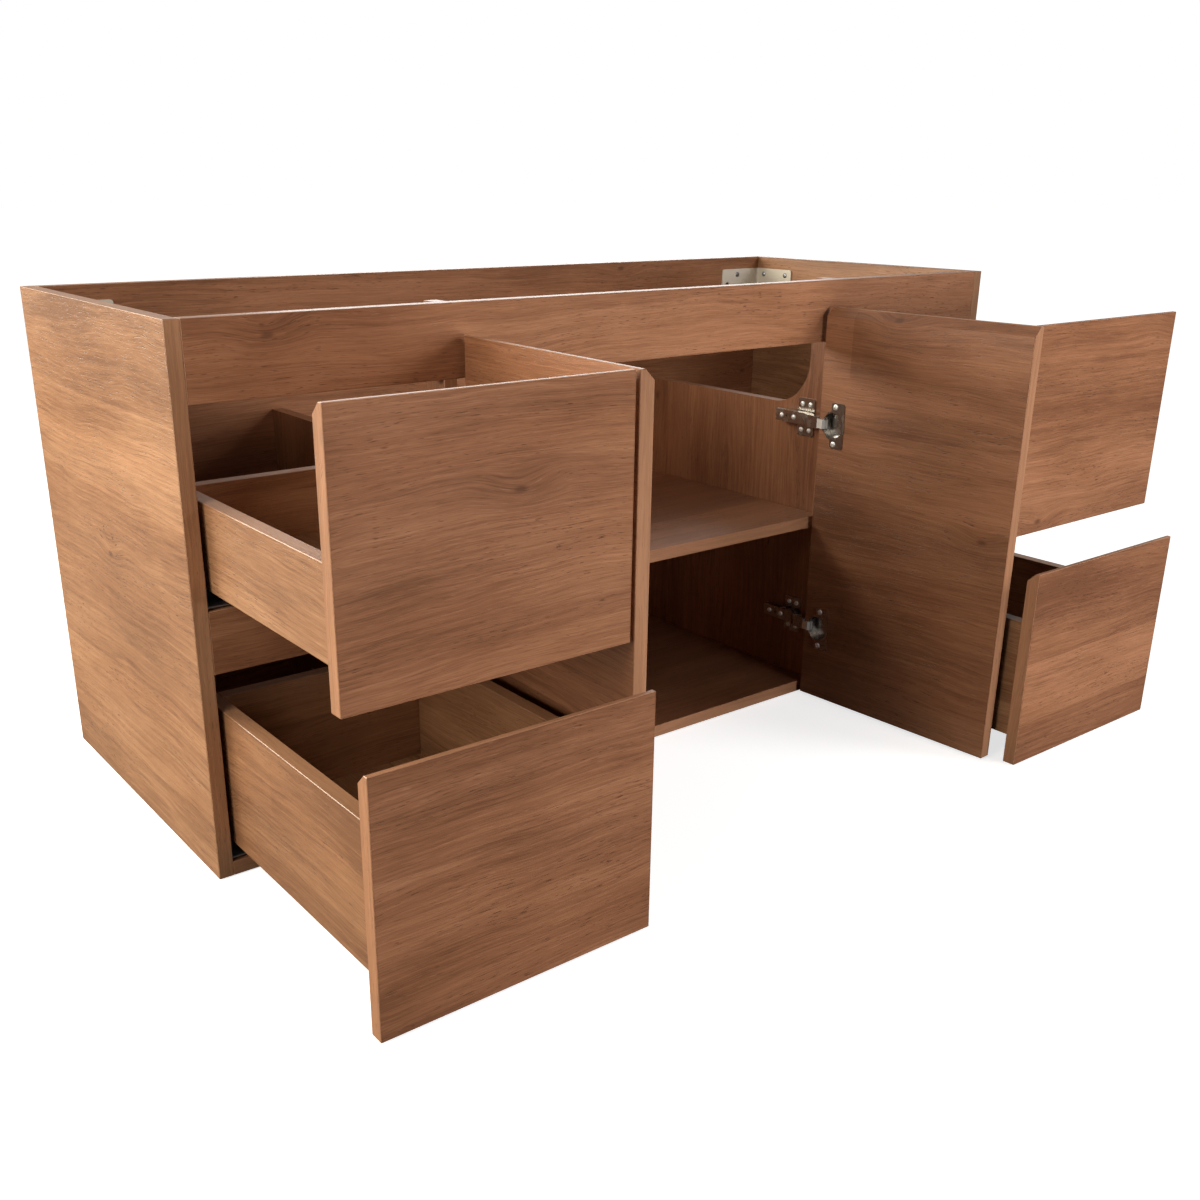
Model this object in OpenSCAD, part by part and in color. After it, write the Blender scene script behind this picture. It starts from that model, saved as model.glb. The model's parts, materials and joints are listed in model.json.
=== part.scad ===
// Wall-hung bathroom vanity cabinet: two drawer banks either side of a two-door cupboard.
// The frame stands on the centre of the cabinet's underside, +X to the right seen from the
// front, +Y towards the wall and +Z up. Doors and drawers are drawn standing open.

/* [Overall] */
// Width over the side panels
body_w = 1200; // [990:1:1450]
// Depth from the wall to the front edges of the carcass
body_d = 446; // [370:1:540]
// Height of the side panels
body_h = 570; // [470:1:690]
// Width of each drawer bank, from the outside to the middle of its divider
bank_w = 300; // [245:1:365]

/* [Boards] */
// Thickness of the carcass boards
board_t = 16; // [13:0.1:20]
// Thickness of the doors and drawer fronts
front_t = 16; // [15:0.1:20]
// Easing along the edges of every board
arris = 0.6; // [0.2:0.1:1.5]
// Height of the rail across the top of the front
rail_h = 78; // [64:1:95]
// Height of the cross rails between the upper and lower drawers
stretcher_h = 66; // [54:1:80]
// Height of the top of the middle shelf
shelf_top = 258; // [210:1:310]
// Clearance at each end of the shelf and behind it
shelf_gap = 0.5; // [0.3:0.1:2]

/* [Divider cut-out] */
// Depth of the upright left in front of the basin cut-out
stile_d = 36; // [28:1:44]
// Distance of the bottom edge of the basin cut-out below the top of the cabinet
cutout_drop = 168; // [150:1:200]
// Radius of the cut-out's lower front corner
cutout_r = 60; // [40:1:72]

/* [Doors and drawer fronts] */
// Gap between a door and the drawer front beside it, and between the doors
front_gap = 4; // [3:0.5:6]
// Gap between the closed fronts and the carcass
back_gap = 2; // [1.5:0.1:3]
// Height of the fronts' bottom edges above the underside
front_rise = 3; // [0:0.5:6]
// Distance from the top of the cabinet down to the fronts' top edges
front_drop = 33; // [25:1:43]
// Finger gap between the upper and lower drawer fronts
finger_gap = 36; // [28:1:44]
// Size of the finger-pull chamfer along the top back edge of every front
pull_chamfer = 11; // [8:0.5:12]
// How far the upper drawer front laps down over the cross rail
stretcher_lap = 4; // [0:0.5:8]

/* [Drawer boxes] */
// Thickness of the box sides and backs
box_t = 16; // [12:0.1:19.5]
// Thickness of the box bottoms
box_floor_t = 8; // [6:0.1:10]
// Side clearance between a box and the carcass
box_gap = 6; // [5:0.1:8]
// Height of a box's sides above the rail or floor that it runs over
box_rise = 18; // [15:0.5:22]
// Height of the upper boxes' sides
upper_box_h = 89; // [74:1:108]
// Room between a lower box and the cross rail above it
lower_box_room = 42; // [34:1:50]
// Space behind a closed box
box_back_room = 50; // [40:1:60]
// Height of the box bottom above the lower edges of the sides
box_floor_up = 13; // [12:0.5:16]

/* [Runners] */
// How much shorter the runners are than the drawer boxes
runner_short = 20; // [10:1:40]
// Set-back of the runners' front ends from the carcass front
runner_set = 4; // [3:0.5:10]
// Thickness of the runner steel
runner_t = 1.5; // [1.2:0.1:2]
// Running clearance between the runner members
runner_gap = 0.4; // [0.35:0.05:0.6]

/* [Hinges] */
// Height of the lower hinges above the door's bottom edge
hinge_low = 101; // [84:1:122]
// Distance of the upper hinges below the bottom edge of the basin cut-out
hinge_under = 15; // [13:1:18]
// How much less the link's pins are apart, across the shut door, than the door is thick
link_short = 4; // [3.6:0.1:4.2]
// Distance between the link's two pins front to back, with the door shut
link_drop = 2; // [1.8:0.1:2.2]
// Distance of the door's hinge pin from the door's edge
pin_set = 9; // [8.8:0.1:9.4]
// Depth of the door's hinge pin below the door's inner face
pin_depth = 4; // [3.9:0.1:4.2]
// Radius of the hinge pins
pin_r = 1.2; // [1:0.05:1.3]
// Radial clearance of the hinge pins
pin_gap = 0.05; // [0.03:0.01:0.08]
// Radius of the hinge cups
cup_r = 17.4; // [17.2:0.1:17.6]
// Depth of the hinge cups
cup_d = 12.6; // [12.4:0.1:13.2]
// Clearance between a door open to its stop and the front of the drawer beside it
stop_gap = 0.62; // [0.4:0.01:1.5]

/* [Wall brackets] */
// Length of a bracket's wing along the back panel
bracket_back_l = 83; // [70:1:100]
// Length of a bracket's wing along the side panel
bracket_side_l = 78; // [65:1:95]
// Height of the bracket's wings
bracket_h = 50; // [42:1:60]
// Thickness of the bracket steel
bracket_t = 2.5; // [2:0.1:3]
// Distance of the brackets below the top of the cabinet
bracket_drop = 18; // [8:1:24]
// Radius of the wall screw holes
wall_hole_r = 4.5; // [3.5:0.1:5.4]
// Distance of the wall screw hole from the side panel
wall_hole_in = 72; // [60:1:75]
// Distance of the screws in the back panel from the side panel
bracket_back_screw = 50; // [40:1:54]
// Distance of the nearer screws in the side panel from the back panel
bracket_near_screw = 17; // [14:1:20]
// Distance of the further screws in the side panel from the back panel
bracket_far_screw = 65; // [54:1:72]

/* [Open positions] */
// Pull-out of the upper left drawer
pull_upper_left = 284; // [0:1:350]
// Pull-out of the lower left drawer
pull_lower_left = 322; // [0:1:350]
// Pull-out of the upper right drawer
pull_upper_right = 278; // [0:1:350]
// Pull-out of the lower right drawer
pull_lower_right = 321; // [0:1:350]
// Angle of the left door short of its stop
short_left = 0.8; // [0:0.1:93]
// Angle of the right door short of its stop
short_right = 0; // [0:0.1:93]

/* [Hidden] */

big = 64;        // facets of the larger round shapes
fine = 32;       // facets of pins, holes and screws
front_y = -body_d / 2;
back_y = body_d / 2;
inner_x = body_w / 2 - board_t;              // inner faces of the side panels
divider_x = body_w / 2 - bank_w;             // middle of each divider
divider_in = divider_x - board_t / 2;        // faces of the dividers
divider_out = divider_x + board_t / 2;
back_face = back_y - board_t;                // front face of the back panel
cutout_floor = body_h - cutout_drop;
front_top = body_h - front_drop;
drawer_front_h = (front_top - front_rise - finger_gap) / 2;
upper_front_z = front_top - drawer_front_h;
stretcher_top = upper_front_z + stretcher_lap;
lower_box_h = stretcher_top - stretcher_h - lower_box_room - board_t - box_rise;
door_edge = divider_x - front_gap / 2;       // outer edge of a closed door
door_w = door_edge - front_gap / 2;
door_h = front_top - front_rise;
drawer_front_in = divider_x + front_gap / 2;
drawer_front_w = body_w / 2 - drawer_front_in;
box_l = body_d - board_t - box_back_room;
box_in = divider_out + box_gap;              // lateral reach of a drawer box
box_out = inner_x - box_gap;
box_lug = box_rise + box_floor_up;           // box bottom above the surface below it

wood = "#A8765A";
wood_light = "#C49A75";
nickel = "#C9C7C2";
cream = "#E4DDCC";
zinc = "#B8BCC0";

// ---- shared shapes ----

// Outline of a board's section with its four corners eased
module eased(w, h) {
    e = arris;
    polygon([[e, 0], [w - e, 0], [w, e], [w, h - e], [w - e, h], [e, h], [0, h - e], [0, e]]);
}

// A board from its lowest corner and its size, with every edge eased
module board(at, size) {
    translate(at) intersection() {
        linear_extrude(size.z) eased(size.x, size.y);
        rotate([90, 0, 90]) linear_extrude(size.x) eased(size.y, size.z);
        translate([0, size.y, 0]) rotate([90, 0, 0]) linear_extrude(size.y) eased(size.x, size.z);
    }
}

// A plain box from its lowest corner and its size
module block(at, size) {
    translate(at) cube(size);
}

// Children as drawn on the right, or mirrored to the left
module on_side(side) {
    if (side > 0) children();
    else mirror([1, 0, 0]) children();
}

// A rectangle with rounded corners
module round_rect(w, h, r) {
    translate([r, 0]) square([w - 2 * r, h]);
    translate([0, r]) square([w, h - 2 * r]);
    for (x = [r, w - r], y = [r, h - r]) translate([x, y]) circle(r, $fn = fine);
}

// ---- screws: a head on the surface and a shank along the drawing's +Z, into the board ----

screw_r = 1.9;
screw_gap = 0.1;
screw_l = 12;

module screw(head_r, head_h, plate_t) {
    difference() {
        union() {
            translate([0, 0, -plate_t - head_h])
                cylinder(h = head_h * 0.6, r1 = head_r * 0.82, r2 = head_r, $fn = fine);
            translate([0, 0, -plate_t - head_h * 0.4]) cylinder(h = head_h * 0.4, r = head_r, $fn = fine);
            translate([0, 0, -plate_t]) cylinder(h = plate_t + screw_l, r = screw_r, $fn = fine);
        }
        for (turn = [0, 90]) rotate(turn)
            translate([-head_r * 0.55, -0.35, -plate_t - head_h - 1]) cube([head_r * 1.1, 0.7, 2]);
    }
}

module pilot_hole(depth = screw_l + 0.5) {
    translate([0, 0, -0.01]) cylinder(h = depth, r = screw_r + screw_gap, $fn = fine);
}

module plate_hole(plate_t) {
    translate([0, 0, -plate_t - 0.5]) cylinder(h = plate_t + 1, r = screw_r + screw_gap, $fn = fine);
}

// Turns a shape drawn along +Z to point along +X, +Y or -Y
module along_x() { rotate([0, 90, 0]) children(); }
module along_y() { rotate([-90, 0, 0]) children(); }
module along_minus_y() { rotate([90, 0, 0]) children(); }

// ---- carcass ----

// Side panel, drawn on the right
module side_panel() {
    difference() {
        board([inner_x, front_y, 0], [board_t, body_d, body_h]);
        bracket_side_sites() along_x() pilot_hole();
        runner_sites("side") along_x() pilot_hole();
    }
}

module side_left() { color(wood_light) on_side(-1) side_panel(); }
module side_right() { color(wood_light) on_side(1) side_panel(); }

module bottom_panel() {
    color(wood) board([-inner_x, front_y, 0], [2 * inner_x, body_d - board_t, board_t]);
}

module back_panel() {
    color(wood) difference() {
        board([-inner_x, back_face, 0], [2 * inner_x, board_t, body_h]);
        for (side = [-1, 1]) on_side(side) {
            bracket_back_sites() along_y() pilot_hole();
            wall_hole_site() along_y() translate([0, 0, -1])
                cylinder(h = board_t + 2, r = wall_hole_r, $fn = big);
        }
    }
}

module top_rail() {
    color(wood) board([-inner_x, front_y, body_h - rail_h], [2 * inner_x, board_t, rail_h]);
}

// Upright between a drawer bank and the cupboard, drawn on the right
module divider() {
    difference() {
        board([divider_in, front_y, board_t], [board_t, body_d - board_t, body_h - board_t]);
        divider_cuts();
        hinge_plate_sites() along_x() pilot_hole();
        runner_sites("divider") rotate([0, -90, 0]) pilot_hole();
        shelf_pin_sites() along_x() translate([0, 0, -1])
            cylinder(h = peg_l + 1.5, r = peg_r + 0.05, $fn = fine);
    }
}

// The notch for the top rail and the basin cut-out, drawn through the right divider
module divider_cuts() {
    block([divider_in - 1, front_y - 1, body_h - rail_h], [board_t + 2, board_t + 1, rail_h + 1]);
    back = body_d - board_t + 1;
    translate([divider_in - 1, front_y, 0]) rotate([90, 0, 90]) linear_extrude(board_t + 2) {
        translate([stile_d + cutout_r, cutout_floor]) square([back - stile_d - cutout_r, body_h]);
        translate([stile_d, cutout_floor + cutout_r]) square([cutout_r + 1, body_h]);
        translate([stile_d + cutout_r, cutout_floor + cutout_r]) circle(cutout_r, $fn = big);
    }
}

module divider_left() { color(wood) on_side(-1) divider(); }
module divider_right() { color(wood) on_side(1) divider(); }

// Cross rail between the upper and lower drawer, drawn on the right
module stretcher() {
    board([divider_out, front_y, stretcher_top - stretcher_h],
          [inner_x - divider_out, board_t, stretcher_h]);
}

module stretcher_left() { color(wood) on_side(-1) stretcher(); }
module stretcher_right() { color(wood) on_side(1) stretcher(); }

shelf_reach = divider_in - shelf_gap;
shelf_z = shelf_top - board_t;

module shelf() {
    color(wood) board([-shelf_reach, front_y, shelf_z],
                      [2 * shelf_reach, body_d - board_t - shelf_gap, board_t]);
}

// Shelf pins: a peg in the divider and a flat lug under the shelf
peg_r = 2.5;
peg_l = 8;
lug_l = 8;
lug_half = 4;
lug_t = 2;
lug_root = 1.5;           // thickness of the lug's flange against the divider
pin_inset = 40;           // pegs' distance from the front and from the back panel

module shelf_pin_sites() {
    for (y = [front_y + pin_inset, back_face - pin_inset])
        translate([divider_in, y, shelf_z - lug_t - peg_r]) children();
}

module shelf_pins() {
    color(nickel) for (side = [-1, 1]) on_side(side) shelf_pin_sites() {
        translate([-1, 0, 0]) along_x() cylinder(h = peg_l + 1, r = peg_r, $fn = fine);
        block([-lug_l, -lug_half, peg_r], [lug_l, 2 * lug_half, lug_t]);
        block([-lug_root, -lug_half, -peg_r], [lug_root, 2 * lug_half, 2 * peg_r + lug_t]);
    }
}

// ---- wall brackets, drawn on the right ----

bracket_z = body_h - bracket_drop - bracket_h;
bracket_corner = 4;
bracket_bend = 3;
bracket_row = 9;          // screws' distance from the wings' top and bottom edges

module bracket_back_sites() {
    for (z = [bracket_row, bracket_h - bracket_row])
        translate([inner_x - bracket_back_screw, back_face, bracket_z + z]) children();
}

module bracket_side_sites() {
    for (y = [bracket_near_screw, bracket_far_screw], z = [bracket_row, bracket_h - bracket_row])
        translate([inner_x, back_face - y, bracket_z + z]) children();
}

module wall_hole_site() {
    translate([inner_x - wall_hole_in, back_face, bracket_z + bracket_h / 2]) children();
}

module bracket() {
    difference() {
        union() {
            translate([inner_x - bracket_back_l, back_face, bracket_z]) rotate([90, 0, 0])
                linear_extrude(bracket_t) bracket_wing(bracket_back_l);
            translate([inner_x, back_face - bracket_side_l, bracket_z]) rotate([90, 0, 90])
                translate([0, 0, -bracket_t]) linear_extrude(bracket_t) bracket_wing(bracket_side_l);
            translate([inner_x - bracket_t - bracket_bend, back_face - bracket_t - bracket_bend, bracket_z])
                linear_extrude(bracket_h) difference() {
                    square(bracket_bend + 0.1);
                    circle(bracket_bend, $fn = fine);
                }
        }
        bracket_back_sites() along_y() plate_hole(bracket_t);
        bracket_side_sites() along_x() plate_hole(bracket_t);
        wall_hole_site() along_y() translate([0, 0, -bracket_t - 1])
            cylinder(h = bracket_t + 2, r = wall_hole_r, $fn = big);
    }
}

// A wing's outline: rounded at its free end, square at the bend
module bracket_wing(l) {
    r = bracket_corner;
    round_rect(l - r, bracket_h, r);
    translate([l / 2, 0]) square([l / 2, bracket_h]);
}

module bracket_left() { color(cream) on_side(-1) bracket(); }
module bracket_right() { color(cream) on_side(1) bracket(); }

module bracket_screws() {
    color(nickel) for (side = [-1, 1]) on_side(side) {
        bracket_back_sites() along_y() screw(4, 1.8, bracket_t);
        bracket_side_sites() along_x() screw(4, 1.8, bracket_t);
    }
}

// ---- drawer runners: u runs from the board's face into the bay, z up from the surface below ----

runner_l = box_l - runner_short;
runner_y = front_y + runner_set;
box_edge = box_gap + box_t;             // inner face of the box side, from the board's face
rail_u = box_edge + 4;
rail_w = 14;
foot_z = 2;
wall_plate_h = 38;
fixed_rail_top = 9;
mid_plate_top = fixed_rail_top + runner_gap + runner_t;
mid_rail_top = box_lug - runner_t - runner_gap;
runner_screw_z = 33;

// Child drawn in the u-z plane and swept along the runner's length
module swept() {
    translate([0, runner_l, 0]) rotate([90, 0, 0]) linear_extrude(runner_l) children();
}

// Fixed member: wall plate, foot under the box side and the rail that carries the others
module fixed_member() {
    difference() {
        swept() {
            translate([0, foot_z]) square([runner_t, wall_plate_h]);
            translate([0, foot_z]) square([rail_u + rail_w + 2, runner_t]);
            translate([rail_u, foot_z]) square([rail_w, fixed_rail_top - foot_z]);
        }
        for (y = runner_screw_ys()) translate([-1, y, runner_screw_z])
            along_x() cylinder(h = runner_t + 2, r = screw_r + screw_gap, $fn = fine);
    }
}

// Middle member: a channel over the fixed rail with its own rail on top
module mid_member() {
    outer = rail_w + 2 * (runner_t + runner_gap);
    swept() {
        difference() {
            translate([rail_u - runner_t - runner_gap, 5]) square([outer, mid_plate_top - 5]);
            translate([rail_u - runner_gap, 4])
                square([rail_w + 2 * runner_gap, fixed_rail_top + runner_gap - 4]);
        }
        translate([rail_u + 1.5, mid_plate_top - 0.5])
            square([rail_w - 3, mid_rail_top - mid_plate_top + 0.5]);
    }
}

// Drawer member: a channel over the middle member's rail, fixed under the box bottom
module box_member() {
    inner = rail_w - 3 + 2 * runner_gap;
    swept() difference() {
        translate([rail_u + 1.5 - runner_gap - runner_t, 16]) square([inner + 2 * runner_t, box_lug - 16]);
        translate([rail_u + 1.5 - runner_gap, 15]) square([inner, box_lug - runner_t - 15]);
    }
}

function runner_screw_ys() = [runner_l * 0.1, runner_l * 0.5, runner_l * 0.85];

// The surface that each drawer's runners stand over
function base_z(upper) = upper ? stretcher_top : board_t;

// Both runners of a bank, pulled out by a given distance, drawn on the right
module runner_pair(upper, pull) {
    translate([divider_out, runner_y - pull, base_z(upper)]) children();
    translate([inner_x, runner_y - pull, base_z(upper)]) mirror([1, 0, 0]) children();
}

// Runner screw places on the side panel's or the divider's face, drawn on the right
module runner_sites(which) {
    for (upper = [true, false], y = runner_screw_ys())
        translate([which == "side" ? inner_x : divider_out, runner_y + y, base_z(upper) + runner_screw_z])
            children();
}

module fixed_runners_upper_left() { color(zinc) on_side(-1) runner_pair(true, 0) fixed_member(); }
module fixed_runners_lower_left() { color(zinc) on_side(-1) runner_pair(false, 0) fixed_member(); }
module fixed_runners_upper_right() { color(zinc) on_side(1) runner_pair(true, 0) fixed_member(); }
module fixed_runners_lower_right() { color(zinc) on_side(1) runner_pair(false, 0) fixed_member(); }

module mid_runners_upper_left() {
    color(zinc) on_side(-1) runner_pair(true, pull_upper_left / 2) mid_member();
}
module mid_runners_lower_left() {
    color(zinc) on_side(-1) runner_pair(false, pull_lower_left / 2) mid_member();
}
module mid_runners_upper_right() {
    color(zinc) on_side(1) runner_pair(true, pull_upper_right / 2) mid_member();
}
module mid_runners_lower_right() {
    color(zinc) on_side(1) runner_pair(false, pull_lower_right / 2) mid_member();
}

module box_runners_upper_left() { color(zinc) on_side(-1) runner_pair(true, pull_upper_left) box_member(); }
module box_runners_lower_left() { color(zinc) on_side(-1) runner_pair(false, pull_lower_left) box_member(); }
module box_runners_upper_right() { color(zinc) on_side(1) runner_pair(true, pull_upper_right) box_member(); }
module box_runners_lower_right() { color(zinc) on_side(1) runner_pair(false, pull_lower_right) box_member(); }

module runner_screws() {
    color(zinc) for (side = [-1, 1]) on_side(side) {
        runner_sites("side") along_x() screw(3.5, 1.6, runner_t);
        runner_sites("divider") rotate([0, -90, 0]) screw(3.5, 1.6, runner_t);
    }
}

// ---- drawers, drawn on the right and closed; pull moves them out ----

// A front board standing from its lowest inner corner, with the finger-pull chamfer
module front_board(at, w, h) {
    difference() {
        board(at, [w, front_t, h]);
        translate(at + [-1, 0, h]) rotate([90, 0, 90]) linear_extrude(w + 2)
            polygon([[front_t - pull_chamfer, 0], [front_t + 1, -pull_chamfer - 1],
                     [front_t + 1, 1], [front_t - pull_chamfer, 1]]);
    }
}

function box_z(upper) = base_z(upper) + box_rise;
function box_h(upper) = upper ? upper_box_h : lower_box_h;
box_y = front_y - back_gap;

module pulled(side, pull) {
    on_side(side) translate([0, -pull, 0]) children();
}

module drawer_front(upper) {
    z = upper ? upper_front_z : front_rise;
    front_board([drawer_front_in, box_y - front_t, z], drawer_front_w, drawer_front_h);
}

module box_side(upper, outer) {
    x = outer ? box_out - box_t : box_in;
    board([x, box_y, box_z(upper)], [box_t, box_l, box_h(upper)]);
}

module box_back(upper) {
    z = box_z(upper) + box_floor_up;
    board([box_in + box_t, box_y + box_l - box_t, z],
          [box_out - box_in - 2 * box_t, box_t, box_h(upper) - box_floor_up]);
}

module box_bottom(upper) {
    board([box_in + box_t, box_y, box_z(upper) + box_floor_up],
          [box_out - box_in - 2 * box_t, box_l - box_t, box_floor_t]);
}

module front_upper_left() { color(wood) pulled(-1, pull_upper_left) drawer_front(true); }
module front_lower_left() { color(wood) pulled(-1, pull_lower_left) drawer_front(false); }
module front_upper_right() { color(wood) pulled(1, pull_upper_right) drawer_front(true); }
module front_lower_right() { color(wood) pulled(1, pull_lower_right) drawer_front(false); }

module box_left_side_upper_left() { color(wood_light) pulled(-1, pull_upper_left) box_side(true, true); }
module box_left_side_lower_left() { color(wood_light) pulled(-1, pull_lower_left) box_side(false, true); }
module box_left_side_upper_right() { color(wood_light) pulled(1, pull_upper_right) box_side(true, false); }
module box_left_side_lower_right() { color(wood_light) pulled(1, pull_lower_right) box_side(false, false); }

module box_right_side_upper_left() { color(wood_light) pulled(-1, pull_upper_left) box_side(true, false); }
module box_right_side_lower_left() { color(wood_light) pulled(-1, pull_lower_left) box_side(false, false); }
module box_right_side_upper_right() { color(wood_light) pulled(1, pull_upper_right) box_side(true, true); }
module box_right_side_lower_right() { color(wood_light) pulled(1, pull_lower_right) box_side(false, true); }

module box_back_upper_left() { color(wood_light) pulled(-1, pull_upper_left) box_back(true); }
module box_back_lower_left() { color(wood_light) pulled(-1, pull_lower_left) box_back(false); }
module box_back_upper_right() { color(wood_light) pulled(1, pull_upper_right) box_back(true); }
module box_back_lower_right() { color(wood_light) pulled(1, pull_lower_right) box_back(false); }

module box_bottom_upper_left() { color(wood_light) pulled(-1, pull_upper_left) box_bottom(true); }
module box_bottom_lower_left() { color(wood_light) pulled(-1, pull_lower_left) box_bottom(false); }
module box_bottom_upper_right() { color(wood_light) pulled(1, pull_upper_right) box_bottom(true); }
module box_bottom_lower_right() { color(wood_light) pulled(1, pull_lower_right) box_bottom(false); }

// ---- hinges and doors, drawn on the right and closed ----
// The link folds back into the cup when the door is shut. It turns on the arm's pin by the
// door's opening angle, away from the door, and the door turns on the link by twice that angle.

door_y = front_y - back_gap;                         // inner face of a closed door
link_run = front_t - link_short;                     // between the link's pins, across the shut door
arm_pin = [door_edge - pin_set - link_run, door_y - pin_depth + link_drop];
door_pin = [door_edge - pin_set, door_y - pin_depth];
hinge_zs = [front_rise + hinge_low, cutout_floor - hinge_under];
cup_in = 22.5;                                       // cup centre from the door's edge
cup_wall = 0.8;
cup_floor = 0.6;
cup_gap = 0.1;
link_half = 6;                                       // half the link's height
arm_half = 8;                                        // half the arm's height
sheet = 1.5;                                         // thickness of the arm's steel
reach = divider_in - arm_pin.x;                      // arm pin from the divider's face

// A door's stop: the angle at which its free corner comes within stop_gap of the drawer front
corner_run = door_w - pin_set - link_run;
corner_rise = front_t - pin_depth - link_drop;
corner_room = drawer_front_in - stop_gap - arm_pin.x;
door_stop = 90 + asin(corner_room / norm([corner_run, corner_rise])) - atan(corner_rise / corner_run);
open_left = door_stop - short_left;
open_right = door_stop - short_right;

// A closed door's pieces carried to where they stand with the door open by an angle
module opened(side, angle) {
    c = cos(angle);
    s = sin(angle);
    turned = arm_pin + [link_run * c - link_drop * s, -link_run * s - link_drop * c];
    on_side(side) translate([turned.x, turned.y, 0]) rotate(angle)
        translate([-door_pin.x, -door_pin.y, 0]) children();
}

module door_panel() {
    difference() {
        front_board([door_edge - door_w, door_y - front_t, front_rise], door_w, door_h);
        for (z = hinge_zs) translate([door_edge - cup_in, door_y, z]) along_minus_y()
            translate([0, 0, -1]) cylinder(h = cup_d + 1 + cup_gap, r = cup_r + cup_gap, $fn = big);
        cup_screw_sites() along_minus_y() pilot_hole(cup_screw_l + 0.5);
    }
}

module door_left() { color(wood) opened(-1, open_left) door_panel(); }
module door_right() { color(wood) opened(1, open_right) door_panel(); }

flange_t = 1;
flange_near = 19.5;        // flange's edges from the door's edge
flange_far = 40.5;
flange_half = 30;
cup_screw_in = 25.5;
cup_screw_up = 24.5;
cup_screw_l = 9;

module cup_screw_sites() {
    for (z = hinge_zs, up = [-cup_screw_up, cup_screw_up])
        translate([door_edge - cup_screw_in, door_y, z + up]) children();
}

// Cup, flange and the pin that the link swings on
module hinge_cup() {
    difference() {
        union() {
            translate([door_edge - cup_in, door_y, 0]) along_minus_y()
                cylinder(h = cup_d, r = cup_r, $fn = big);
            translate([door_edge, door_y, 0]) rotate([-90, 0, 0]) linear_extrude(flange_t) {
                translate([-flange_far, -flange_half])
                    round_rect(flange_far - flange_near, 2 * flange_half, 3);
                intersection() {
                    translate([-cup_in, 0]) circle(cup_r + 1.6, $fn = big);
                    translate([-cup_in - 30, -30]) square([40, 60]);
                }
            }
        }
        translate([door_edge - cup_in, door_y, 0]) along_minus_y() translate([0, 0, -2])
            cylinder(h = cup_d - cup_floor + 2, r = cup_r - cup_wall, $fn = big);
        for (up = [-cup_screw_up, cup_screw_up])
            translate([door_edge - cup_screw_in, door_y, up]) along_minus_y() plate_hole(flange_t);
    }
    half_chord = sqrt(pow(cup_r - 0.1, 2) - pow(cup_in - pin_set + pin_r, 2));
    translate([door_pin.x, door_pin.y, -half_chord]) cylinder(h = 2 * half_chord, r = pin_r, $fn = fine);
}

module hinge_cups() { for (z = hinge_zs) translate([0, 0, z]) hinge_cup(); }
module hinge_cups_left() { color(nickel) opened(-1, open_left) hinge_cups(); }
module hinge_cups_right() { color(nickel) opened(1, open_right) hinge_cups(); }

module cup_screws() {
    cup_screw_sites() along_minus_y() difference() {
        union() {
            translate([0, 0, -flange_t - 1.2]) cylinder(h = 1.2, r1 = 3.2, r2 = 3.8, $fn = fine);
            translate([0, 0, -flange_t]) cylinder(h = flange_t + cup_screw_l, r = screw_r, $fn = fine);
        }
        for (turn = [0, 90]) rotate(turn)
            translate([-2, -0.35, -flange_t - 2]) cube([4, 0.7, 1.6]);
    }
}

module cup_screws_left() { color(nickel) opened(-1, open_left) cup_screws(); }
module cup_screws_right() { color(nickel) opened(1, open_right) cup_screws(); }

// Link: two bosses joined by an arched strap that passes over the cup's rim. It is drawn as it
// lies with the door shut, its arm pin at the origin and its strap down in the cup.
boss_r = 1.9;
strap_t = 1.6;
strap_in = pin_depth + 1.75;         // inner face of the strap below the door's pin
link_pins = [[0, 0], [link_run, -link_drop]];

module hinge_link() {
    difference() {
        translate([0, 0, -link_half]) linear_extrude(2 * link_half) {
            strap();
            for (pin = link_pins) translate(pin) circle(boss_r, $fn = fine);
        }
        for (pin = link_pins) translate([pin.x, pin.y, -link_half - 1])
            cylinder(h = 2 * link_half + 2, r = pin_r + pin_gap, $fn = fine);
    }
}

// The strap's bent outline, from the arm's boss round to the door's
module strap() {
    near = -link_drop - strap_in;
    far = near - strap_t;
    polygon([[-0.9, 0], [-0.4, far + 2.4], [1.2, far], [link_run - 1.2, far], [link_run + 1.2, far + 3],
             [link_run + 0.8, -link_drop], [link_run - 0.8, -link_drop], [link_run - 0.5, near + 1.3],
             [link_run - 2, near], [3, near], [1.2, near + 1.3], [0.9, 0]]);
}

// Both links of a door, turned on the arms' pins by the door's opening angle
module links(side, angle) {
    on_side(side) for (z = hinge_zs)
        translate([arm_pin.x, arm_pin.y, z]) rotate(-angle) hinge_link();
}

module hinge_links_left() { color(nickel) links(-1, open_left); }
module hinge_links_right() { color(nickel) links(1, open_right); }

// Arm: a cranked channel from the mounting plate out to the link's first pin. Its outlines
// run across from the divider's face and back from the cabinet's front.
arm_tip = reach + 5.8;               // outer face of the front web
arm_rear = 15;                       // outer face of the rear web
arm_end = 79;
arm_screw_ys = [46, 68];
tip_r = 2.2;                         // round end of the cheeks, about the link's first pin
pin_y = arm_pin.y - front_y;

module arm_screw_sites() {
    for (z = hinge_zs, y = arm_screw_ys)
        translate([divider_in - arm_rear + sheet, front_y + y, z]) children();
}

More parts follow.
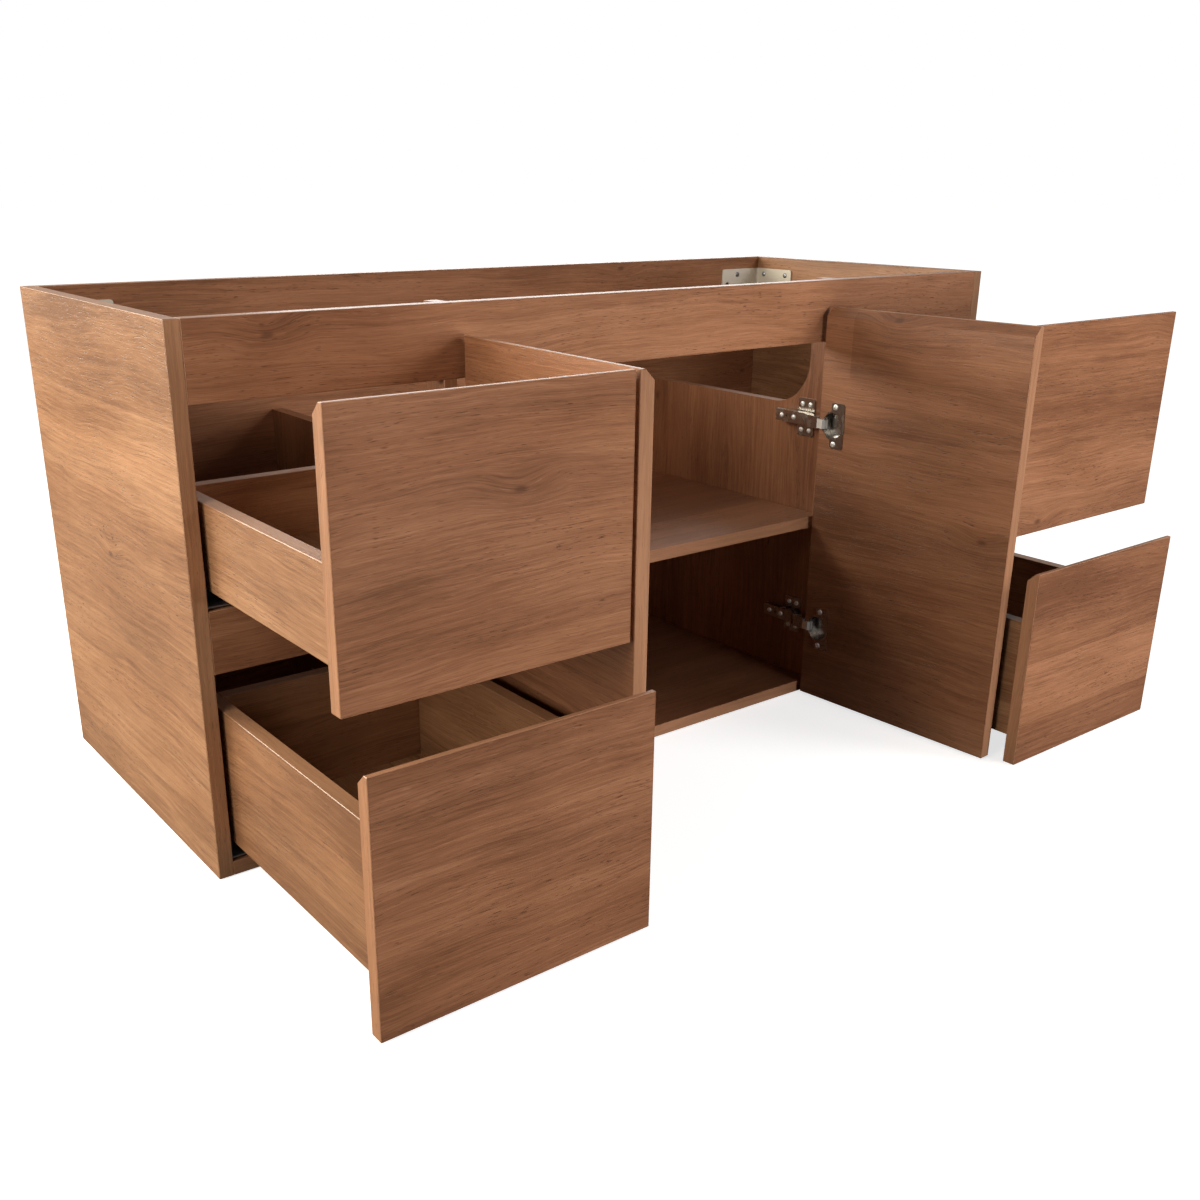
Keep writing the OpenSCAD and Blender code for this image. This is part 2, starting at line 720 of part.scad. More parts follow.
module hinge_arm() {
    translate([divider_in, front_y, 0]) mirror([1, 0, 0]) difference() {
        translate([0, 0, -arm_half]) linear_extrude(2 * arm_half) arm_outline();
        translate([0, 0, -arm_half + sheet]) linear_extrude(2 * (arm_half - sheet)) arm_hollow();
        translate([arm_rear - sheet - 1, 55, -1.6]) cube([sheet + 2, 5, 3.2]);
    }
    translate([arm_pin.x, arm_pin.y, -arm_half]) cylinder(h = 2 * arm_half, r = pin_r, $fn = fine);
}

module arm_outline() {
    polygon([[arm_tip, pin_y + 2], [arm_tip, 16], [arm_rear, 26], [arm_rear, arm_end], [6, arm_end],
             [6, 24], [reach - tip_r, 8], [reach - tip_r, pin_y], [reach + tip_r, pin_y]]);
    translate([reach, pin_y]) circle(tip_r, $fn = fine);
}

// The space between the cheeks, open towards the divider and around the link
module arm_hollow() {
    polygon([[arm_tip - sheet, pin_y + 1.5], [arm_tip - sheet, 16 - sheet / 3],
             [arm_rear - sheet, 26 - sheet / 3], [arm_rear - sheet, arm_end + 1], [0, arm_end + 1],
             [0, pin_y - 4], [arm_tip + 1, pin_y - 4], [arm_tip + 1, pin_y + 1.5]]);
}

module hinge_arms() {
    color(nickel) for (side = [-1, 1]) on_side(side) difference() {
        for (z = hinge_zs) translate([0, 0, z]) hinge_arm();
        arm_screw_sites() along_x() plate_hole(sheet);
    }
}

// Mounting plate: two screwed wings and the saddle that the arm sits over
plate_t = 2;
plate_y = 21;
plate_l = 29;
plate_half = 25.5;
plate_screw_up = 17.5;
plate_screw_ys = [7.5, 21.5];
saddle_y = [28, 46];

module hinge_plate_sites() {
    for (z = hinge_zs, up = [-plate_screw_up, plate_screw_up], y = plate_screw_ys)
        translate([divider_in, front_y + plate_y + y, z + up]) children();
}

module hinge_plates() {
    saddle_half = arm_half - sheet - 0.2;
    saddle_h = arm_rear - sheet;
    color(nickel) for (side = [-1, 1]) on_side(side) difference() {
        for (z = hinge_zs) translate([divider_in, front_y, z]) {
            translate([0, plate_y, -plate_half]) rotate([90, 0, 90]) translate([0, 0, -plate_t])
                linear_extrude(plate_t) round_rect(plate_l, 2 * plate_half, 3);
            block([-saddle_h, saddle_y[0], -saddle_half],
                  [saddle_h, saddle_y[1] - saddle_y[0], 2 * saddle_half]);
        }
        hinge_plate_sites() along_x() plate_hole(plate_t);
        arm_screw_sites() along_x() pilot_hole();
    }
}

module hinge_plate_screws() {
    color(nickel) for (side = [-1, 1]) on_side(side) {
        hinge_plate_sites() along_x() screw(3.6, 1.4, plate_t);
        arm_screw_sites() along_x() screw(3.4, 1.4, sheet);
    }
}

side_left();
side_right();
bottom_panel();
back_panel();
top_rail();
divider_left();
divider_right();
stretcher_left();
stretcher_right();
shelf();
shelf_pins();
bracket_left();
bracket_right();
bracket_screws();
hinge_plates();
hinge_arms();
hinge_plate_screws();
runner_screws();
fixed_runners_upper_left();
fixed_runners_lower_left();
fixed_runners_upper_right();
fixed_runners_lower_right();
mid_runners_upper_left();
mid_runners_lower_left();
mid_runners_upper_right();
mid_runners_lower_right();
box_runners_upper_left();
box_runners_lower_left();
box_runners_upper_right();
box_runners_lower_right();
front_upper_left();
front_lower_left();
front_upper_right();
front_lower_right();
box_left_side_upper_left();
box_left_side_lower_left();
box_left_side_upper_right();
box_left_side_lower_right();
box_right_side_upper_left();
box_right_side_lower_left();
box_right_side_upper_right();
box_right_side_lower_right();
box_back_upper_left();
box_back_lower_left();
box_back_upper_right();
box_back_lower_right();
box_bottom_upper_left();
box_bottom_lower_left();
box_bottom_upper_right();
box_bottom_lower_right();
door_left();
door_right();
hinge_cups_left();
hinge_cups_right();
cup_screws_left();
cup_screws_right();
hinge_links_left();
hinge_links_right();
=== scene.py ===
import json
import math
import bmesh
import bpy
import numpy as np
from mathutils import Euler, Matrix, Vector


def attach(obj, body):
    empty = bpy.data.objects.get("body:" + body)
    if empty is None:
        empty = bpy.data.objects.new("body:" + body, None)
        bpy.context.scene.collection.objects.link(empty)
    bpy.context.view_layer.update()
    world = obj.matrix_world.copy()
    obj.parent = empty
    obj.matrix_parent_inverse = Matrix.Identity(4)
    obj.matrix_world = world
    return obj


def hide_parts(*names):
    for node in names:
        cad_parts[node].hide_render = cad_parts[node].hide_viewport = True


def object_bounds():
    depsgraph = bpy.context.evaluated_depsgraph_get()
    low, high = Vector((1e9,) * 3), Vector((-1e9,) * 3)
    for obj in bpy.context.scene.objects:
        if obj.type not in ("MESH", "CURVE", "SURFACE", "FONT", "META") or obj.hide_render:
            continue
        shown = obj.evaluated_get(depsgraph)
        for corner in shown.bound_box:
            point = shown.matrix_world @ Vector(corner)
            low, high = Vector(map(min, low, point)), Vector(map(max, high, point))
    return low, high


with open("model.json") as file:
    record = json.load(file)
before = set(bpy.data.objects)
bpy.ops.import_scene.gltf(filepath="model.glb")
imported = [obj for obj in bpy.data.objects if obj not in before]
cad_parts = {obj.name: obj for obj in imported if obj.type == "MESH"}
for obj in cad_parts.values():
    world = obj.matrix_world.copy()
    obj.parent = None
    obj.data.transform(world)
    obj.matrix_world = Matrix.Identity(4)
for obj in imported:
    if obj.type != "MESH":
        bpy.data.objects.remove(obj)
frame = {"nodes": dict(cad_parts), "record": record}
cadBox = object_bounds()
nodes = frame["nodes"]
sides = ["left", "right"]
drawers = [level + "_" + side for level in ("upper", "lower") for side in sides]
jointNamed = {joint["name"]: joint for joint in frame["record"]["behaviour"]["joints"]}
print("frame loaded:", len(nodes), "nodes")


# a socket with arithmetic on it, and one way to add any other node
class Wire:
    def __init__(self, tree, socket=None):
        self.tree = tree
        self.socket = socket

    def plug(self, target, value):
        if isinstance(value, Wire):
            self.tree.links.new(value.socket, target)
        elif isinstance(value, list):  # a socket that takes several links
            for wire in value:
                self.tree.links.new(wire.socket, target)
        else:
            target.default_value = value

    def make(self, kind, settings=None, inputs=None, output=0):
        node = self.tree.nodes.new(kind if "Node" in kind else "ShaderNode" + kind)
        for name, value in (settings or {}).items():
            if name == "stops":
                ramp = node.color_ramp.elements
                while len(ramp) < len(value):
                    ramp.new(0.5)
                for element, (place, colour) in zip(ramp, value):
                    element.position = place
                    element.color = (*colour, 1)
            else:
                setattr(node, name, value)
        for name, value in (inputs or {}).items():
            self.plug(node.inputs[name], value)
        return Wire(self.tree, node.outputs[output] if len(node.outputs) else None)

    def math(self, operation, *values):
        return self.make("Math", {"operation": operation}, dict(enumerate((self, *values))))

    def __add__(self, other): return self.math("ADD", other)
    def __radd__(self, other): return self.math("ADD", other)
    def __mul__(self, other): return self.math("MULTIPLY", other)
    def __rmul__(self, other): return self.math("MULTIPLY", other)
    def __sub__(self, other): return self.math("SUBTRACT", other)
    def __gt__(self, other): return self.math("GREATER_THAN", other)

    def __rsub__(self, other):
        return self.make("Math", {"operation": "SUBTRACT"}, {0: other, 1: self})

    def smooth(self, low, high, outLow=0.0, outHigh=1.0):
        return self.make("MapRange", {"interpolation_type": "SMOOTHSTEP"},
                         {"Value": self, "From Min": low, "From Max": high,
                          "To Min": outLow, "To Max": outHigh})

    def mix(self, a, b):
        return self.make("Mix", {"data_type": "FLOAT"}, {"Factor": self, "A": a, "B": b})

    def tint(self, a, b, blend="MIX"):
        first = a if isinstance(a, Wire) else (*a, 1)
        second = b if isinstance(b, Wire) else (*b, 1)
        return self.make("Mix", {"data_type": "RGBA", "blend_type": blend},
                         {0: self, 6: first, 7: second}, output=2)

    def vector(self, x, y, z):
        return self.make("CombineXYZ", None, {"X": x, "Y": y, "Z": z})

    def noise(self, vector, scale=1.0, detail=2.0, roughness=0.5, distortion=0.0):
        return self.make("TexNoise", None, {"Vector": vector, "Scale": scale, "Detail": detail,
                                            "Roughness": roughness, "Distortion": distortion})

    def split(self):
        parts = self.tree.nodes.new("ShaderNodeSeparateXYZ")
        self.tree.links.new(self.socket, parts.inputs[0])
        return [Wire(self.tree, out) for out in parts.outputs]


def newMaterial(name):
    material = bpy.data.materials.new(name)
    material.use_nodes = True
    tree = material.node_tree
    surface = tree.nodes["Principled BSDF"]
    return material, Wire(tree), surface


def bumpFrom(root, height, strength, distance):
    return root.make("Bump", None, {"Strength": strength, "Distance": distance, "Height": height})


# walnut-look board: printed figure on the faces, edge strips that run along each edge
wood = {
    "light": (0.43, 0.2, 0.105),
    "mid": (0.3, 0.13, 0.064),
    "dark": (0.185, 0.074, 0.035),
    "pore": (0.085, 0.033, 0.016),
    "fleck": (0.56, 0.3, 0.17),
    "staveWidth": 0.105,
    "knotSpacing": 0.3,
    "knotStretch": 0.5,
    "roughness": 0.38,
    "coat": 0.18,
    "coatRoughness": 0.24,
    "paler": (1.12, 1.28, 1.3),
    "warmPatch": (1.0, 0.9, 0.8),
    "driftBend": 0.05,
    "rippleBend": 0.0035,
    "staveBend": 0.02,
    "staveStretch": 0.5,
    "ringScale": 520.0,
    "ringDrift": 40.0,
    "facing": 0.6,
    "knotBend": 0.011,
    "bumpStrength": 0.4,
    "bumpDepth": 0.0005,
    "edgeStrip": 0.0011,
    "edgeStripSeam": 0.00035,
    "paintedHighlightBand": (0.0002, 0.0009),
}
# each layer of noise: scale along the grain, scale across it, seed shift, detail, roughness
grain = {
    "drift": (2.1, 6.0, 0, 3.0, 0.5),
    "ripple": (14.0, 40.0, 5, 2.0, 0.5),
    "clouds": (3.2, 9.0, 31, 3.0, 0.6),
    "bands": (1.5, 26.0, 4, 3.0, 0.55),
    "streaks": (5.0, 300.0, 9, 4.0, 0.7),
    "lines": (3.0, 210.0, 14, 2.0, 0.55),
    "linePart": (7.0, 34.0, 19, 2.0, 0.5),
    "ringPart": (4.0, 16.0, 17, 1.0, 0.5),
    "fibre": (34.0, 1100.0, 2, 2.0, 0.65),
    "pores": (85.0, 950.0, 6, 1.0, 0.4),
    "porePart": (5.0, 30.0, 8, 2.0, 0.5),
    "flecks": (60.0, 800.0, 12, 1.0, 0.5),
    "warmth": (1.1, 11.0, 21, 2.0, 0.5),
}
# how much each one moves the tone of the figure, and how strongly each mark covers it
toneShare = {"stave": 0.3, "clouds": 1.05, "bands": 0.55, "streaks": 0.8, "fibre": 0.7,
             "rings": 0.12, "knots": 0.08}
markShare = {"warmth": 0.4, "lines": 0.34, "pores": 0.78, "flecks": 0.22, "knots": 0.62,
             "seam": 0.4, "paintedEdgeHighlight": 0.45}
# from which value to which each mark fades in
fade = {"knotField": (0.0, 0.1), "knotCore": (0.004, 0.016), "linePart": (0.42, 0.64),
        "line": (0.0, 0.035), "ringPart": (0.46, 0.62), "porePart": (0.4, 0.62),
        "pores": (0.63, 0.74), "flecks": (0.66, 0.78), "warmth": (0.35, 0.7)}
axisNumber = {"x": 0, "y": 1, "z": 2}


def woodMaterial(name, along, thick, seed, turn, box, paler):
    material, root, surface = newMaterial(name)
    place = root.make("TexCoord", output=3)
    normal = root.make("TexCoord", output=1)
    if turn:
        spin = (0, 0, math.radians(-turn))
        place = root.make("Mapping", None, {"Vector": place, "Rotation": spin})
        normal = root.make("Mapping", None, {"Vector": normal, "Rotation": spin})
    across = ({"x", "y", "z"} - {along, thick}).pop()
    p = place.split()
    n = normal.split()
    pAlong, pAcross, pThick = (p[axisNumber[a]] for a in (along, across, thick))
    onEnd = n[axisNumber[along]].math("ABSOLUTE") > wood["facing"]
    onFace = n[axisNumber[thick]].math("ABSOLUTE") > wood["facing"]
    u = onEnd.mix(pAlong, pAcross) + seed * 0.77
    v = onFace.mix(pThick + 0.31, pAcross) + seed * 1.37

    def layer(part, sideways):
        alongScale, acrossScale, shift, detail, roughness = grain[part]
        spot = root.vector(u * alongScale, sideways * acrossScale, seed + shift)
        return root.noise(spot, detail=detail, roughness=roughness)

    # slow waves carry every finer line with them, and knots bend the lines around them
    knotScale = 1.0 / wood["knotSpacing"]
    cell = root.vector(u * (wood["knotStretch"] * knotScale), v * knotScale, seed)
    knotFar = root.make("TexVoronoi", {"voronoi_dimensions": "2D", "feature": "F1"},
                        {"Vector": cell, "Scale": 1.0, "Randomness": 1.0})
    knotField = knotFar.smooth(*fade["knotField"], 1.0, 0.0)
    knotCore = knotFar.smooth(*fade["knotCore"], 1.0, 0.0)
    drift = layer("drift", v) - 0.5
    ripple = layer("ripple", v) - 0.5
    vWave = (v + drift * wood["driftBend"] + ripple * wood["rippleBend"]
             + knotField * wood["knotBend"])

    staveAcross = (v + drift * wood["staveBend"]) * (1 / wood["staveWidth"])
    staveSpot = root.vector(u * wood["staveStretch"], staveAcross, 0)
    stave = root.make("TexVoronoi",
                      {"voronoi_dimensions": "2D", "feature": "F1", "distance": "CHEBYCHEV"},
                      {"Vector": staveSpot, "Scale": 1.0, "Randomness": 0.7}, output=1)
    staveTone = stave.split()[0]
    clouds = layer("clouds", vWave)
    bands = layer("bands", vWave)
    streaks = layer("streaks", vWave)
    linePart = layer("linePart", vWave).smooth(*fade["linePart"])
    lineField = (layer("lines", vWave) - 0.5).math("ABSOLUTE")
    lines = lineField.smooth(*fade["line"], 1.0, 0.0) * linePart
    rings = (vWave * wood["ringScale"] + drift * wood["ringDrift"]).math("SINE") * 0.5 + 0.5
    ringPart = layer("ringPart", vWave).smooth(*fade["ringPart"])
    fibre = layer("fibre", vWave)
    porePart = layer("porePart", vWave).smooth(*fade["porePart"])
    pores = layer("pores", vWave).smooth(*fade["pores"]) * (porePart * 0.75 + 0.25)
    flecks = layer("flecks", vWave).smooth(*fade["flecks"])
    warmth = layer("warmth", vWave).smooth(*fade["warmth"])

    figure = (0.5 + (staveTone - 0.5) * toneShare["stave"] + (clouds - 0.5) * toneShare["clouds"]
              + (bands - 0.5) * toneShare["bands"] + (streaks - 0.5) * toneShare["streaks"]
              + (fibre - 0.5) * toneShare["fibre"] - rings * ringPart * toneShare["rings"]
              - knotField * toneShare["knots"])
    stops = [(0.16, wood["dark"]), (0.5, wood["mid"]), (0.86, wood["light"])]
    colour = root.make("ValToRGB", {"stops": stops}, {"Fac": figure})
    colour = (warmth * markShare["warmth"]).tint(colour, wood["warmPatch"], "MULTIPLY")
    if paler:
        colour = root.make("Mix", {"data_type": "RGBA", "blend_type": "MULTIPLY"},
                           {0: 1.0, 6: colour, 7: (*wood["paler"], 1)}, output=2)
    colour = (lines * markShare["lines"]).tint(colour, wood["pore"])
    colour = (pores * markShare["pores"]).tint(colour, wood["pore"])
    colour = (flecks * markShare["flecks"]).tint(colour, wood["fleck"])
    colour = (knotCore * markShare["knots"]).tint(colour, wood["pore"])

    # the seam of the edge strip on the faces, and a painted highlight that lightens every board edge
    low, high = box
    gaps = [coord - low[axisNumber[a]] for a, coord in ((along, pAlong), (across, pAcross))]
    gaps += [high[axisNumber[a]] - coord for a, coord in ((along, pAlong), (across, pAcross))]
    edge = gaps[0].math("MINIMUM", gaps[1]).math("MINIMUM", gaps[2].math("MINIMUM", gaps[3]))
    seam = (edge - wood["edgeStrip"]).math("ABSOLUTE").smooth(0.0, wood["edgeStripSeam"])
    seam = (1.0 - seam) * onFace
    # painted highlight: a thin band along the board edges is tinted paler as if catching light, broken
    # up by the streaks
    paintedEdgeHighlight = edge.smooth(*wood["paintedHighlightBand"], 1.0, 0.0) * (streaks * 0.5 + 0.5)
    colour = (seam * markShare["seam"]).tint(colour, wood["pore"])
    colour = (paintedEdgeHighlight * markShare["paintedEdgeHighlight"]).tint(colour, wood["fleck"])
    root.plug(surface.inputs["Base Color"], colour)
    root.plug(surface.inputs["Roughness"], wood["roughness"] + fibre * 0.14 + pores * 0.2 - 0.05)
    height = fibre * 0.6 + streaks * 0.4 - pores * 1.2 - knotCore * 0.4
    bump = bumpFrom(root, height, wood["bumpStrength"], wood["bumpDepth"])
    root.plug(surface.inputs["Normal"], bump)
    surface.inputs["Coat Weight"].default_value = wood["coat"]
    surface.inputs["Coat Roughness"].default_value = wood["coatRoughness"]
    return material


metals = {
    "nickel": {"colour": (0.5, 0.475, 0.44), "rough": 0.17},
    "bright": {"colour": (0.93, 0.92, 0.9), "rough": 0.42},
    "zinc": {"colour": (0.42, 0.43, 0.45), "rough": 0.36},
}
# scales of the plating's cloudiness, its brushed lines and the smears on it
plating = {"cloud": 180.0, "brush": 2400.0, "smear": 60.0, "darker": 0.7, "bump": (0.12, 0.0002)}


def metalMaterial(name, look):
    material, root, surface = newMaterial(name)
    place = root.make("TexCoord", output=3)
    cloud = root.noise(place, scale=plating["cloud"], detail=3.0)
    brush = root.noise(place, scale=plating["brush"], detail=2.0)
    smear = root.noise(place, scale=plating["smear"], detail=2.0, distortion=0.6).smooth(0.45, 0.7)
    darker = tuple(c * plating["darker"] for c in look["colour"])
    colour = (cloud * 0.35).tint(look["colour"], darker)
    root.plug(surface.inputs["Base Color"], colour)
    root.plug(surface.inputs["Roughness"], look["rough"] + cloud * 0.08 + brush * 0.06 + smear * 0.07)
    bump = bumpFrom(root, cloud * 0.6 + brush * 0.4, *plating["bump"])
    root.plug(surface.inputs["Normal"], bump)
    surface.inputs["Metallic"].default_value = 1.0
    return material


paint = {"colour": (0.76, 0.7, 0.6), "rough": 0.36, "darker": 0.86, "peel": 900.0, "cloud": 40.0,
         "bump": (0.2, 0.0002)}


def paintMaterial(name):
    material, root, surface = newMaterial(name)
    place = root.make("TexCoord", output=3)
    peel = root.noise(place, scale=paint["peel"], detail=2.0)
    cloud = root.noise(place, scale=paint["cloud"], detail=3.0)
    darker = tuple(c * paint["darker"] for c in paint["colour"])
    colour = (cloud * 0.3).tint(paint["colour"], darker)
    root.plug(surface.inputs["Base Color"], colour)
    root.plug(surface.inputs["Roughness"], paint["rough"] + peel * 0.12)
    root.plug(surface.inputs["Normal"], bumpFrom(root, peel, *paint["bump"]))
    return material


def setMaterial(obj, material):
    obj.data.materials.clear()
    obj.data.materials.append(material)


# which way the grain runs and which way the board is thin, for each kind of board
boards = {
    "side_left": ("y", "x"), "side_right": ("y", "x"), "bottom_panel": ("x", "z"),
    "back_panel": ("x", "y"), "top_rail": ("x", "y"), "divider_left": ("z", "x"),
    "divider_right": ("z", "x"), "stretcher_left": ("x", "y"), "stretcher_right": ("x", "y"),
    "shelf": ("x", "z"), "door_left": ("y", "x"), "door_right": ("y", "x"),
}
for d in drawers:
    boards["front_" + d] = ("x", "y")
    boards["box_left_side_" + d] = ("y", "x")
    boards["box_right_side_" + d] = ("y", "x")
    boards["box_back_" + d] = ("x", "y")
    boards["box_bottom_" + d] = ("y", "z")

# the open doors stand a few degrees past square to the front
doorRest = {side: -jointNamed["open_" + side]["range_deg"][0] for side in sides}
doorTurn = {"door_left": 90 - doorRest["left"], "door_right": doorRest["right"] - 90}
seedStart = 0.7
seedStep = 0.618

for number, (name, (along, thick)) in enumerate(boards.items()):
    turn = doorTurn.get(name, 0.0)
    spin = Euler((0, 0, math.radians(-turn))).to_matrix()
    points = [spin @ v.co for v in nodes[name].data.vertices]
    box = [[pick(q[i] for q in points) for i in range(3)] for pick in (min, max)]
    paler = name.startswith(("side_", "box_"))
    seed = seedStart + number * seedStep
    setMaterial(nodes[name], woodMaterial("wood_" + name, along, thick, seed, turn, box, paler))
print("boards finished:", len(boards))

nickel = metalMaterial("nickelPlate", metals["nickel"])
bright = metalMaterial("brightPlate", metals["bright"])
zinc = metalMaterial("zincPlate", metals["zinc"])
cream = paintMaterial("creamPaint")
for name in ["bracket_left", "bracket_right"]:
    setMaterial(nodes[name], cream)
for name in ["hinge_plates", "hinge_arms", "hinge_cups_left", "hinge_cups_right"]:
    setMaterial(nodes[name], nickel)
for name in ["hinge_links_left", "hinge_links_right"]:
    setMaterial(nodes[name], bright)
setMaterial(nodes["shelf_pins"], zinc)
for d in drawers:
    for name in ["fixed_runners_", "mid_runners_", "box_runners_"]:
        setMaterial(nodes[name + d], zinc)
print("metal finished")

# cross-recess screws: each stands where the plain screw of the CAD node is
screws = {
    "bracket_screws": {"body": "carcass", "piece": "bracketScrews", "domeHeight": 0.0021,
                       "finish": zinc},
    "hinge_plate_screws": {"body": "carcass", "piece": "hingePlateScrews", "domeHeight": 0.0018,
                           "finish": bright},
    "runner_screws": {"body": "carcass", "piece": "runnerScrews", "domeHeight": 0.0016,
                      "finish": zinc},
    "cup_screws_left": {"body": "door_left", "piece": "cupScrewsLeft", "domeHeight": 0.0014,
                        "finish": bright},
    "cup_screws_right": {"body": "door_right", "piece": "cupScrewsRight", "domeHeight": 0.0014,
                         "finish": bright},
}
recess = {"width": 0.0009, "reach": 0.62, "depth": 0.0009, "seed": 5}
screwMesh = {"segments": 28, "rings": 14, "shankSides": 20, "sink": 0.1}


def islands(obj):
    mesh = bmesh.new()
    mesh.from_mesh(obj.data)
    bmesh.ops.remove_doubles(mesh, verts=mesh.verts, dist=1e-6)
    left = set(mesh.verts)
    groups = []
    while left:
        group = []
        queue = [left.pop()]
        while queue:
            vert = queue.pop()
            group.append(vert.co[:])
            for edge in vert.link_edges:
                other = edge.other_vert(vert)
                if other in left:
                    left.remove(other)
                    queue.append(other)
        groups.append(np.array(group))
    mesh.free()
    return sorted(groups, key=lambda g: tuple(g.mean(axis=0).round(5)))


# the head's seat, the way the head faces, and the sizes of one plain screw
def screwOf(points):
    centre = (points.max(axis=0) + points.min(axis=0)) / 2
    spread = np.linalg.svd(points - points.mean(axis=0), full_matrices=False)[2]
    sizes = []
    for axis in spread:
        reach = points @ axis
        sizes.append(reach.max() - reach.min())
    axis = spread[int(np.argmax(sizes))]
    height = (points - centre) @ axis
    radius = np.linalg.norm(points - centre - np.outer(height, axis), axis=1)
    wide = height[radius > 0.97 * radius.max()]
    if wide.mean() < 0:
        axis, height, wide = -axis, -height, -wide
    tip = height.min()
    shank = radius[height < tip + 1e-5].max()
    seat = wide.min()
    return centre + axis * seat, axis, radius.max(), shank, seat - tip


def screwTree():
    tree = bpy.data.node_groups.new("screwTree", "GeometryNodeTree")
    face = tree.interface
    face.new_socket("Geometry", in_out="INPUT", socket_type="NodeSocketGeometry")
    for name in ["Head Radius", "Dome Height", "Shank Radius", "Shank Length", "Recess Width",
                 "Recess Length", "Recess Depth"]:
        face.new_socket(name, in_out="INPUT", socket_type="NodeSocketFloat")
    face.new_socket("Seed", in_out="INPUT", socket_type="NodeSocketInt")
    face.new_socket("Finish", in_out="INPUT", socket_type="NodeSocketMaterial")
    face.new_socket("Geometry", in_out="OUTPUT", socket_type="NodeSocketGeometry")
    root = Wire(tree)
    given = tree.nodes.new("NodeGroupInput").outputs
    ask = {out.name: Wire(tree, out) for out in given if out.name}
    radius, dome = ask["Head Radius"], ask["Dome Height"]
    ball = root.make("GeometryNodeMeshUVSphere", None,
                     {"Segments": screwMesh["segments"], "Rings": screwMesh["rings"], "Radius": 1.0})
    head = root.make("GeometryNodeTransform", None,
                     {"Geometry": ball, "Scale": root.vector(radius, radius, dome)})

    def bar(x, y, z, lift):
        cube = root.make("GeometryNodeMeshCube", None, {"Size": root.vector(x, y, z)})
        return root.make("GeometryNodeTransform", None,
                         {"Geometry": cube, "Translation": root.vector(0.0, 0.0, lift)})

    across = radius * 4.0
    depth = ask["Recess Depth"]
    length, width = ask["Recess Length"], ask["Recess Width"]
    under = bar(across, across, across, across * -0.5)
    slotOne = bar(length, width, depth * 2.0, dome)
    slotTwo = bar(width, length, depth * 2.0, dome)
    head = root.make("GeometryNodeMeshBoolean", {"operation": "DIFFERENCE"},
                     {"Mesh 1": head, "Mesh 2": [under, slotOne, slotTwo]})
    sink = dome * screwMesh["sink"]
    shankLength = ask["Shank Length"] + sink
    shank = root.make("GeometryNodeMeshCylinder", None,
                      {"Vertices": screwMesh["shankSides"], "Radius": ask["Shank Radius"],
                       "Depth": shankLength})
    shank = root.make("GeometryNodeTransform", None,
                      {"Geometry": shank,
                       "Translation": root.vector(0.0, 0.0, sink - shankLength * 0.5)})
    whole = root.make("GeometryNodeMeshBoolean", {"operation": "UNION"}, {"Mesh 2": [head, shank]})
    facing = root.make("GeometryNodeInputNamedAttribute", {"data_type": "FLOAT_VECTOR"},
                       {"Name": "facing"})
    aim = root.make("FunctionNodeAlignRotationToVector", {"axis": "Z"}, {"Vector": facing})
    twist = root.make("FunctionNodeRandomValue", {"data_type": "FLOAT"},
                      {2: 0.0, 3: math.pi / 2, "Seed": ask["Seed"]}, output=1)
    turned = root.make("FunctionNodeAxisAngleToRotation", None, {"Axis": (0, 0, 1), "Angle": twist})
    aim = root.make("FunctionNodeRotateRotation", {"rotation_space": "LOCAL"}, {0: aim, 1: turned})
    placed = root.make("GeometryNodeInstanceOnPoints", None,
                       {"Points": ask["Geometry"], "Instance": whole, "Rotation": aim})
    solid = root.make("GeometryNodeRealizeInstances", None, {"Geometry": placed})
    done = root.make("GeometryNodeSetMaterial", None, {"Geometry": solid, "Material": ask["Finish"]})
    root.make("NodeGroupOutput", None, {"Geometry": done})
    return tree


def growScrews(tree, node, look):
    found = [screwOf(points) for points in islands(nodes[node])]
    seats = bpy.data.meshes.new(look["piece"] + "Seats")
    seats.from_pydata([tuple(f[0]) for f in found], [], [])
    facing = seats.attributes.new("facing", "FLOAT_VECTOR", "POINT")
    for item, f in zip(facing.data, found):
        item.vector = f[1]
    holder = bpy.data.objects.new(look["piece"] + "Seats", seats)
    bpy.context.scene.collection.objects.link(holder)
    modifier = holder.modifiers.new("screws", "NODES")
    modifier.node_group = tree
    radius, shank, length = (float(np.mean([f[i] for f in found])) for i in (2, 3, 4))
    values = {"Head Radius": radius, "Dome Height": look["domeHeight"], "Shank Radius": shank,
              "Shank Length": length, "Recess Width": recess["width"],
              "Recess Length": radius * 2 * recess["reach"], "Recess Depth": recess["depth"],
              "Seed": recess["seed"], "Finish": look["finish"]}
    for item in tree.interface.items_tree:
        if item.name in values and item.in_out == "INPUT":
            modifier[item.identifier] = values[item.name]
    view = bpy.context.evaluated_depsgraph_get()
    mesh = bpy.data.meshes.new_from_object(holder.evaluated_get(view))
    bpy.data.objects.remove(holder)
    piece = bpy.data.objects.new(look["piece"], mesh)
    bpy.context.scene.collection.objects.link(piece)
    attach(piece, look["body"])
    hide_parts(node)
    print(look["piece"], len(found), "screws,", len(mesh.polygons), "faces")


screwShape = screwTree()
for node, look in screws.items():
    growScrews(screwShape, node, look)

